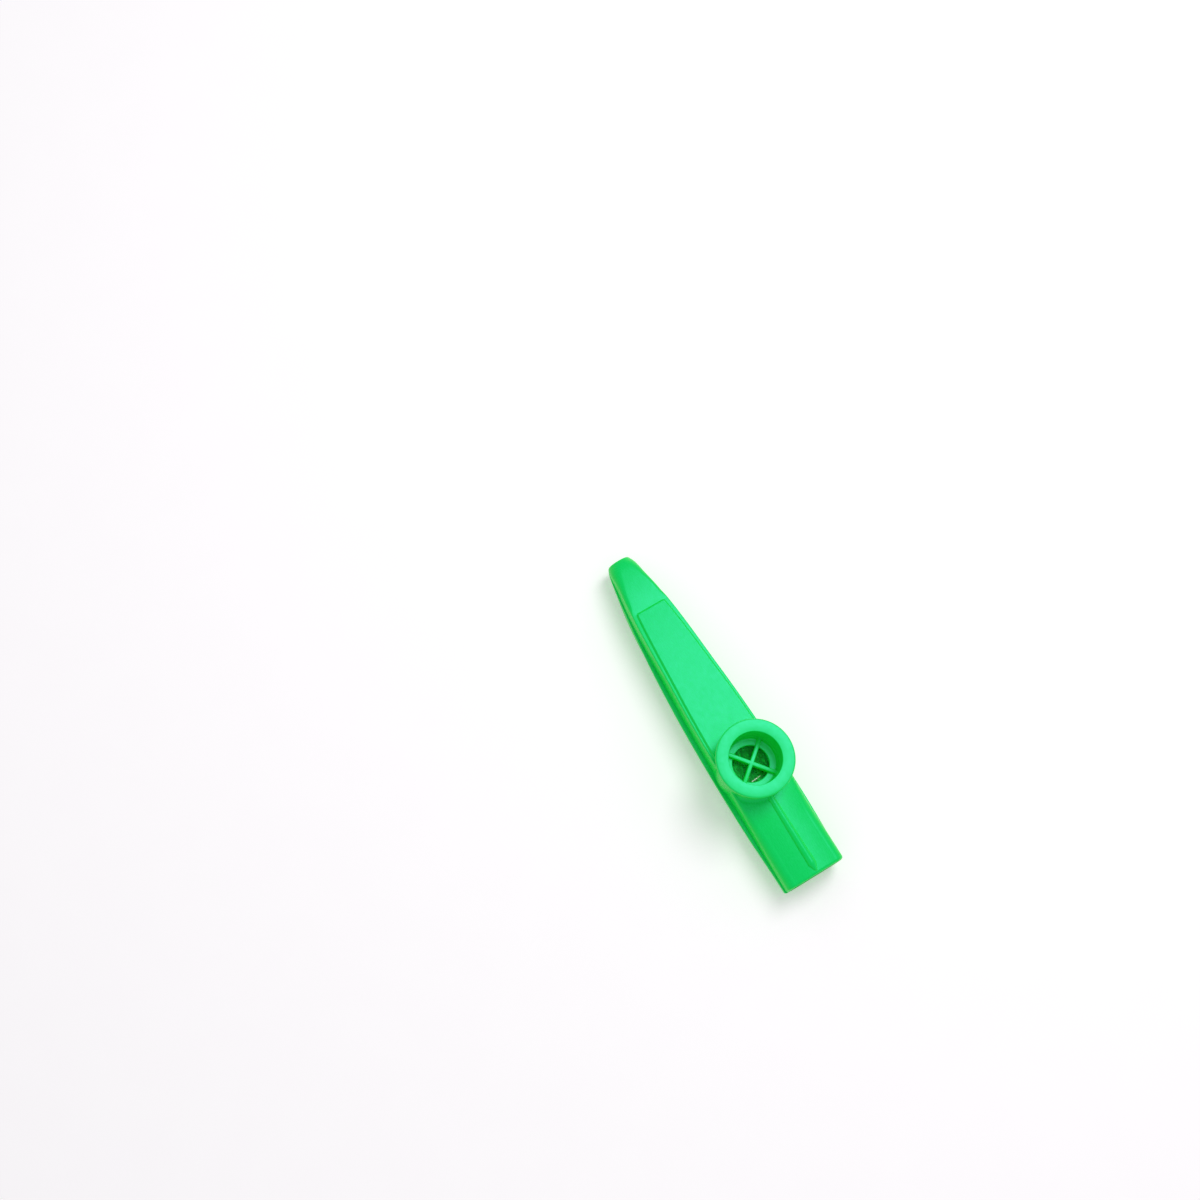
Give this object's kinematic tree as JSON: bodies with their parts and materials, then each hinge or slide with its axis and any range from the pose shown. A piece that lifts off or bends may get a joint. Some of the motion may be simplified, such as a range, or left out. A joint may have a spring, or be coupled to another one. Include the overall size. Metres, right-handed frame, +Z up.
{
  "type": "kazoo",
  "caption": "Moulded toy kazoo: a flared two-shell body tapering to a round tip, with a flanged push-in turret cap over a buzzing membrane.",
  "frame": {"origin": "middle of the body's length and width, on the surface that the lower shell rests on", "axes": "+X along the body from the round tip to the mouth end, +Y across the body, +Z up out of the turret"},
  "size_m": [0.12, 0.0256, 0.0257],
  "materials": {
    "shell": "satin-gloss moulded plastic, bright green",
    "cap": "satin moulded plastic, bright green, softly matt on the flange",
    "film": "thin translucent film, slightly wrinkled",
    "ring": "stiff pale plastic ring"
  },
  "bodies": {
    "body": {"lower_shell": "shell", "upper_shell": "shell"},
    "film": {"membrane": "film"},
    "ring": {"membrane_ring": "ring"},
    "cap": {"turret_cap": "cap"}
  },
  "joints": [
    {"name": "membrane_lift", "type": "slide", "parent": "body", "child": "film", "axis": [0, 0, 1], "range_m": [0, 0.012]},
    {"name": "cap_turn", "type": "hinge", "parent": "film", "child": "ring", "pos_m": [0.0195, 0, 0.0142], "axis": [0, 0, 1], "continuous": true},
    {"name": "cap_lift", "type": "slide", "parent": "ring", "child": "cap", "axis": [0, 0, 1], "range_m": [0, 0.012]}
  ]
}
